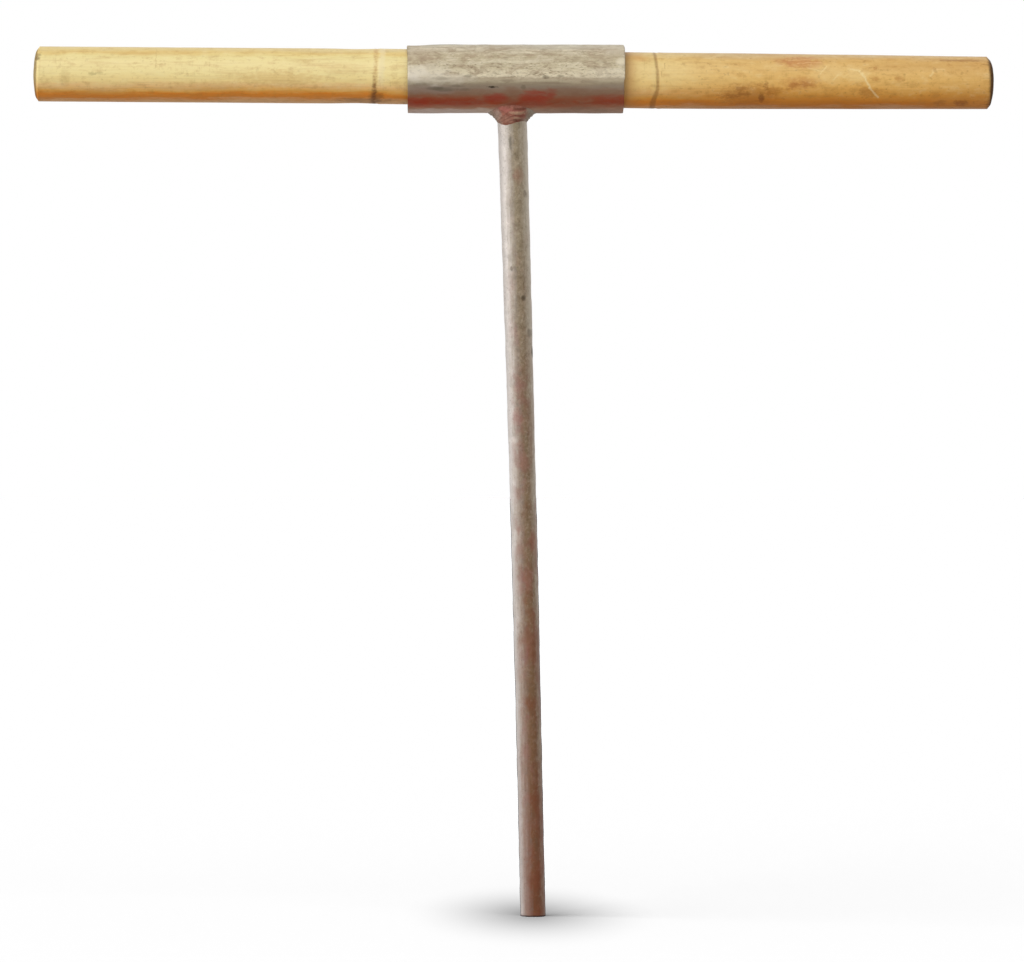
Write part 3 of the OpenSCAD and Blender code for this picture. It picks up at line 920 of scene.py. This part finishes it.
left_broken = rise(specks + streaks * 0.5, 0.6, 0.9)
left_mark = rise(abs(left_line), 2.4, 0.3) * (0.2 + left_broken * 0.45 + rise(up, 0.1, -0.5) * 0.3)
colour = tint(left_mark * 0.85, colour, tint(rise(up, 0.2, -0.5), "bf8a50", "7f5026"))
knot = stain(x, over, (-97.6, -15.4), 10, 8, ragged)
colour = tint(knot * front * 0.5, colour, "62391a")
# A pale band just right of the left leaf scar, above the underside: painted highlight.
scar_highlight_band = rise(abs(left_line - 4.4), 3.4, 0.8) * rise(up, -0.6, -0.1)
colour = tint(scar_highlight_band * 0.3, colour, "f8eac4")
lifted = over.math("MAXIMUM", over + 5, 0.0)
right_line = x - 98.9 + lifted ** 2 * 0.0035 + rise(over, -6, -18) * 3.4 + (ragged - 0.5) * 1.6
right_mark = rise(abs(right_line) - rise(over, -4, -16) * 0.9, 1.8, 0.2)
colour = tint(right_mark * (0.35 + specks * 0.3), colour, "80501f")
colour = tint(rise(abs(right_line + 2.6), 2.2, 0.6) * rise(up, -0.7, -0.4) * 0.15, colour, "f0d898")
# An orange-brown tint on the cane round the sleeve's right mouth, fading out 13 mm beyond it:
# painted shadow of the sleeve.
mouth_shadow = rise(x, sleeve_half + 13, sleeve_half + 1) * rise(x, sleeve_half - 40, sleeve_half - 4)
colour = tint(mouth_shadow * 0.5, colour, "c68440")
right_side = rise(x, -5, 5)
edge_x = abs(x + 0.9)
# The cane darkens toward its rims, more at the right end: dirt, and toward the top and bottom
# of each rim painted shade where the dome turns away.
rim_dirt_and_shade = rise(edge_x + (ragged - 0.5) * 6 + abs(up) * 2 + right_side * 1.2, 332, 336.5)
colour = tint(rim_dirt_and_shade * (0.3 + right_side * 0.5), colour, "5f3a17")
end_grain = noise(stretched(place, 30, 1, 1, 71), 0.9, 3, 0.7)
end_colour = tint(rise(end_grain, 0.42, 0.6), tint(right_side, "8d7040", "5c3c1c"), "3f2912")
colour = tint(rise(end_face, 0.02, 0.12) * (0.65 + right_side * 0.3), colour, end_colour)
crack_turn = noise(stretched(place, 40, 1, 1, 83), 2.0, 2, 0.5)
end_crack = rise(crack_turn, 0.58, 0.66) * rise(edge_x + (ragged - 0.5) * 8, 324, 334) * right_side
colour = tint(end_crack * 0.6, colour, "67401c")
cane_relief = (fibres * 0.03 + blotches * 0.08 + specks * 0.02) * (1 - rise(up, -0.5, -0.85) * 0.7)
close_finish(
    colour,
    0.44 + specks * 0.16 + rise(edge_x, 330, 334) * 0.4,
    0.0,
    cane_relief - left_mark * 0.12 - right_mark * 0.2,
    0.25,
)
apply_shape_tree(pole, worn_skin, {
    "Hollow Size": 9.0, "Hollow Depth": 0.12, "Pit Size": 2.0, "Pit Depth": 0.02,
    "Pit Share": 0.36, "Grain": 7.0, "Seed": 55.0, "Finish": cane_finish,
})
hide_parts("handle_pole")
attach(pole, "pole")


# Studio
# A level camera a little to the left, a plain white floor that keeps the tool's soft shadow,
# a big soft key light from the left, a weaker one in front, a long strip overhead, and a pale sky.

camera = add_object("camera", bpy.data.cameras.new("camera"))
bpy.context.scene.camera = camera
aim = Vector((-0.01465, 0, 0.3044))
camera_turn = math.radians(1.05)
camera_away = 4.0
sensor_width, picture_width, pixel_size = 36, 1024, 0.0007
camera.location = aim + camera_away * Vector((-math.sin(camera_turn), -math.cos(camera_turn), 0))
camera.rotation_euler = (math.radians(90), 0, -camera_turn)
camera.data.sensor_width = sensor_width
camera.data.lens = sensor_width * (camera_away / pixel_size) / picture_width
camera.data.clip_end = 100


def white_to_camera(start, plain, white):
    """Mixes a plain shader with a white one that camera, mirror and glass rays see."""
    rays = [start.node("ShaderNodeLightPath", output=kind) for kind in (
        "Is Camera Ray", "Is Glossy Ray", "Is Transmission Ray",
    )]
    seen = rays[0].math("MAXIMUM", rays[0], rays[1])
    seen = seen.math("MAXIMUM", seen, rays[2])
    return seen.node("ShaderNodeMixShader", {}, {0: seen, 1: plain, 2: white})


def level_sheet(name, half_x, half_y, height, finish):
    """A level sheet in metres, centred over the foot."""
    mesh = bpy.data.meshes.new(name)
    mesh.from_pydata(
        [(-half_x, -half_y, height), (half_x, -half_y, height),
         (half_x, half_y, height), (-half_x, half_y, height)],
        [], [(0, 1, 2, 3)],
    )
    mesh.materials.append(finish)
    return add_object(name, mesh)


floor_half = 300
floor_finish = bpy.data.materials.new("white floor")
start = cleared_tree(floor_finish)
paper = start.node("ShaderNodeBsdfDiffuse", {}, {"Color": linear("c8c8c8")})
start.node("ShaderNodeOutputMaterial", {}, {"Surface": paper})
floor = level_sheet("floor", floor_half, floor_half, 0, floor_finish)
floor.is_shadow_catcher = True

# The floor is darkest where the foot stands on it, in a soft patch that only the camera sees
patch_half_x, patch_half_y, patch_height = 0.3, 0.5, 0.0001
shade_reach_x, shade_reach_y, darkest = 94, 305, 0.39
patch_finish, place, x, y, z = new_finish("shade round the foot")
from_foot = (((x + 1) / shade_reach_x) ** 2 + ((y - 18) / shade_reach_y) ** 2) ** 0.5
shade = clamped(1 - from_foot) ** 2.0 * darkest
shade = shade * shade.node("ShaderNodeLightPath", output="Is Camera Ray")
clear = shade.node("ShaderNodeBsdfTransparent")
dark = shade.node("ShaderNodeEmission", {}, {"Color": (0, 0, 0, 1)})
patch_face = shade.node("ShaderNodeMixShader", {}, {0: shade, 1: clear, 2: dark})
shade.node("ShaderNodeOutputMaterial", {}, {"Surface": patch_face})
patch = level_sheet("foot_shade", patch_half_x, patch_half_y, patch_height, patch_finish)

world = bpy.data.worlds.new("sky")
bpy.context.scene.world = world
start = cleared_tree(world)
sky = start.node("ShaderNodeBackground", {}, {"Color": (1, 1, 1, 1), "Strength": 0.32})
bright = start.node("ShaderNodeBackground", {}, {"Color": (1, 1, 1, 1), "Strength": 1.0})
start.node("ShaderNodeOutputWorld", {}, {"Surface": white_to_camera(start, sky, bright)})


def soft_sun(name, toward, energy, angle):
    """A sun that shines from a direction, as soft as a light this many degrees wide."""
    sun = add_object(name, bpy.data.lights.new(name, "SUN"))
    sun.data.energy = energy
    sun.data.angle = math.radians(angle)
    sun.rotation_mode = "QUATERNION"
    sun.rotation_quaternion = Vector(toward).to_track_quat("Z", "Y")


soft_sun("key", (-0.86, -0.40, 0.30), 2.5, 80)
soft_sun("front", (0.1, -0.85, 0.5), 0.72, 80)
strip_light = add_object("strip", bpy.data.lights.new("strip", "AREA"))
strip_light.data.shape = "RECTANGLE"
strip_light.data.size = 1.2
strip_light.data.size_y = 16
strip_light.data.energy = 63
strip_light.location = (0, 0, 6)

bpy.context.scene.view_settings.view_transform = "Standard"
